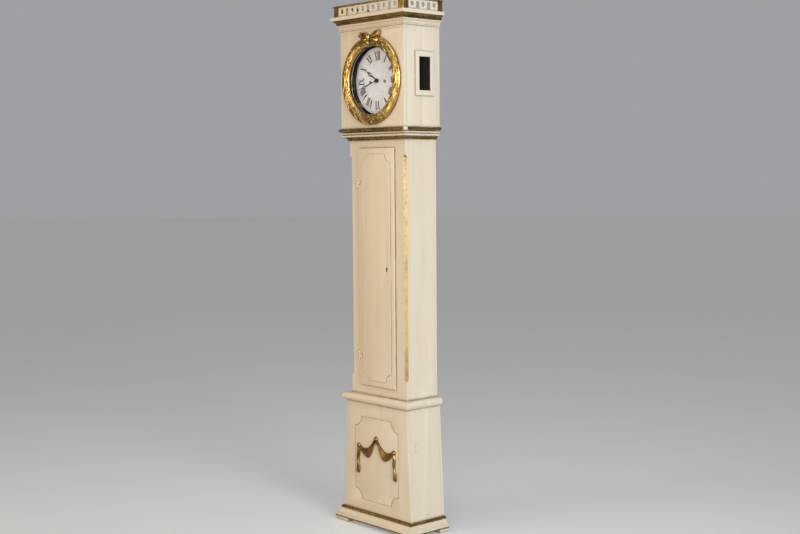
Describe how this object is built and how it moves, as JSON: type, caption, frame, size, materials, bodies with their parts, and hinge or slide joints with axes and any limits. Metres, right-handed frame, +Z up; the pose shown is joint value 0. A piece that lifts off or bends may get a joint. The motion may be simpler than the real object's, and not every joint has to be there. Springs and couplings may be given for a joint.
{
  "type": "longcase clock",
  "caption": "Tall painted longcase clock with a pierced gallery, sliding glazed hood, round dial, long trunk door, flared plinth and a weight-driven pendulum movement.",
  "frame": {"origin": "on the floor, under the middle of the clock's overall width and depth", "axes": "+Z up, the dial faces -Y, the backboard faces +Y, +X is the viewer's right"},
  "size_m": [0.49, 0.229, 2.2],
  "materials": {
    "cream_paint": "old oil paint on pine, worn at the edges",
    "gilding": "worn gold leaf on carved wood",
    "clear_glass": "clear old glass",
    "brass": "dull aged brass",
    "steel": "worn steel",
    "blackened_steel": "blackened steel",
    "cast_iron": "rough cast",
    "bare_pine": "bare aged pine",
    "dial_enamel": "white enamel with black Roman numerals",
    "gut_line": "twisted gut"
  },
  "bodies": {
    "case": {"foot_front_left": "cream_paint", "foot_front_right": "cream_paint", "foot_back_left": "cream_paint", "foot_back_right": "cream_paint", "base_moulding": "cream_paint", "plinth_front": "cream_paint", "plinth_side_left": "cream_paint", "plinth_side_right": "cream_paint", "plinth_swag": "gilding", "waist_moulding": "cream_paint", "trunk_front_frame": "cream_paint", "trunk_side_left": "cream_paint", "trunk_side_right": "cream_paint", "backboard": "bare_pine", "trunk_top_moulding": "cream_paint", "seatboard": "bare_pine", "hinge_upper_frame_leaf": "brass", "hinge_lower_frame_leaf": "brass", "front_plate": "brass", "back_plate": "brass", "bell": "brass", "dial": "dial_enamel"},
    "trunk_door": {"trunk_door": "cream_paint", "trunk_lock": "steel", "hinge_upper_door_leaf": "brass", "hinge_lower_door_leaf": "brass"},
    "hood": {"hood_base_moulding": "gilding", "hood_top_board": "cream_paint", "hood_cornice": "cream_paint", "gallery_front": "cream_paint", "gallery_left": "cream_paint", "gallery_right": "cream_paint", "hood_side_left": "cream_paint", "hood_side_right": "cream_paint", "window_glass_left": "clear_glass", "window_glass_right": "clear_glass"},
    "hood_door": {"hood_door": "cream_paint", "dial_glass": "clear_glass", "bezel_wreath": "gilding", "bezel_bow": "gilding"},
    "minute_hand": {"minute_hand": "blackened_steel", "cannon_pinion": "brass"},
    "hour_hand": {"hour_hand": "blackened_steel", "hour_wheel": "brass"},
    "minute_wheel": {"minute_wheel": "brass"},
    "centre_wheel": {"centre_wheel": "brass"},
    "great_wheel": {"great_wheel": "brass"},
    "third_wheel": {"third_wheel": "brass"},
    "escape_wheel": {"escape_wheel": "brass"},
    "pendulum": {"pendulum": "brass"},
    "anchor": {"anchor": "steel"},
    "hammer": {"hammer": "steel"},
    "going_weight": {"going_weight": "cast_iron", "going_line": "gut_line"},
    "going_pulley": {"going_pulley": "brass"},
    "going_barrel": {"going_barrel": "brass"},
    "strike_weight": {"strike_weight": "cast_iron", "strike_line": "gut_line"},
    "strike_pulley": {"strike_pulley": "brass"},
    "strike_barrel": {"strike_barrel": "brass"}
  },
  "joints": [
    {"name": "trunk_door_hinge", "type": "hinge", "parent": "case", "child": "trunk_door", "pos_m": [-0.115, -0.0645, 1.1], "axis": [0, 0, -1], "range_deg": [0, 100]},
    {"name": "hood_slide", "type": "slide", "parent": "case", "child": "hood", "axis": [0, -1, 0], "range_m": [0, 0.25]},
    {"name": "hood_door_hinge", "type": "hinge", "parent": "hood", "child": "hood_door", "pos_m": [-0.201, -0.0688, 1.88], "axis": [0, 0, -1], "range_deg": [0, 100]},
    {"name": "minute_hand_turn", "type": "hinge", "parent": "case", "child": "minute_hand", "pos_m": [0, 0.0095, 1.88], "axis": [0, 1, 0], "continuous": true},
    {"name": "hour_hand_turn", "type": "hinge", "parent": "case", "child": "hour_hand", "pos_m": [0, 0.0095, 1.88], "axis": [0, 1, 0], "continuous": true},
    {"name": "minute_wheel_turn", "type": "hinge", "parent": "case", "child": "minute_wheel", "pos_m": [0, 0.0095, 1.8566], "axis": [0, 1, 0], "continuous": true},
    {"name": "third_wheel_turn", "type": "hinge", "parent": "case", "child": "third_wheel", "pos_m": [-0.01463, 0.0095, 1.90089], "axis": [0, 1, 0], "continuous": true},
    {"name": "centre_wheel_turn", "type": "hinge", "parent": "case", "child": "centre_wheel", "pos_m": [0, 0.0095, 1.88], "axis": [0, 1, 0], "continuous": true},
    {"name": "great_wheel_turn", "type": "hinge", "parent": "case", "child": "great_wheel", "pos_m": [0.046, 0.0095, 1.875], "axis": [0, 1, 0], "continuous": true},
    {"name": "escape_wheel_turn", "type": "hinge", "parent": "case", "child": "escape_wheel", "pos_m": [0, 0.0095, 1.91915], "axis": [0, 1, 0], "continuous": true},
    {"name": "pendulum_swing", "type": "hinge", "parent": "case", "child": "pendulum", "pos_m": [0, 0.0605, 1.95015], "axis": [0, 1, 0], "range_deg": [-3, 3]},
    {"name": "anchor_rock", "type": "hinge", "parent": "case", "child": "anchor", "pos_m": [0, 0.0095, 1.95015], "axis": [0, 1, 0], "range_deg": [-3, 3]},
    {"name": "hammer_lift", "type": "hinge", "parent": "case", "child": "hammer", "pos_m": [-0.06, 0.0095, 1.945], "axis": [0, -1, 0], "range_deg": [-2, 15], "stiffness_Nm_per_rad": 0.1},
    {"name": "going_weight_slide", "type": "slide", "parent": "case", "child": "going_weight", "axis": [0, 0, 1], "range_m": [0, 1.17], "deforming": ["going_line"]},
    {"name": "going_pulley_turn", "type": "hinge", "parent": "going_weight", "child": "going_pulley", "pos_m": [0.04615, 0.0095, 0.395], "axis": [0, 1, 0], "range_deg": [0, 2860]},
    {"name": "going_barrel_turn", "type": "hinge", "parent": "case", "child": "going_barrel", "pos_m": [0.046, 0.0095, 1.875], "axis": [0, 1, 0], "range_deg": [0, 5760]},
    {"name": "strike_weight_slide", "type": "slide", "parent": "case", "child": "strike_weight", "axis": [0, 0, 1], "range_m": [0, 1.17], "deforming": ["strike_line"]},
    {"name": "strike_pulley_turn", "type": "hinge", "parent": "strike_weight", "child": "strike_pulley", "pos_m": [-0.04585, 0.0095, 0.395], "axis": [0, 1, 0], "range_deg": [0, 2860]},
    {"name": "strike_barrel_turn", "type": "hinge", "parent": "case", "child": "strike_barrel", "pos_m": [-0.046, 0.0095, 1.875], "axis": [0, 1, 0], "range_deg": [0, 5760]}
  ],
  "couplings": [
    {"joint": "hour_hand_turn", "follows": "minute_hand_turn", "ratio": 0.083333},
    {"joint": "minute_wheel_turn", "follows": "minute_hand_turn", "ratio": -1},
    {"joint": "centre_wheel_turn", "follows": "third_wheel_turn", "ratio": -0.13333},
    {"joint": "great_wheel_turn", "follows": "third_wheel_turn", "ratio": 0.011111},
    {"joint": "escape_wheel_turn", "follows": "third_wheel_turn", "ratio": -8},
    {"joint": "anchor_rock", "follows": "pendulum_swing", "ratio": 1},
    {"joint": "going_pulley_turn", "follows": "going_weight_slide", "rad_per_m": 42.644},
    {"joint": "going_barrel_turn", "follows": "going_weight_slide", "rad_per_m": 85.837},
    {"joint": "strike_pulley_turn", "follows": "strike_weight_slide", "rad_per_m": 42.644},
    {"joint": "strike_barrel_turn", "follows": "strike_weight_slide", "rad_per_m": 85.837}
  ]
}
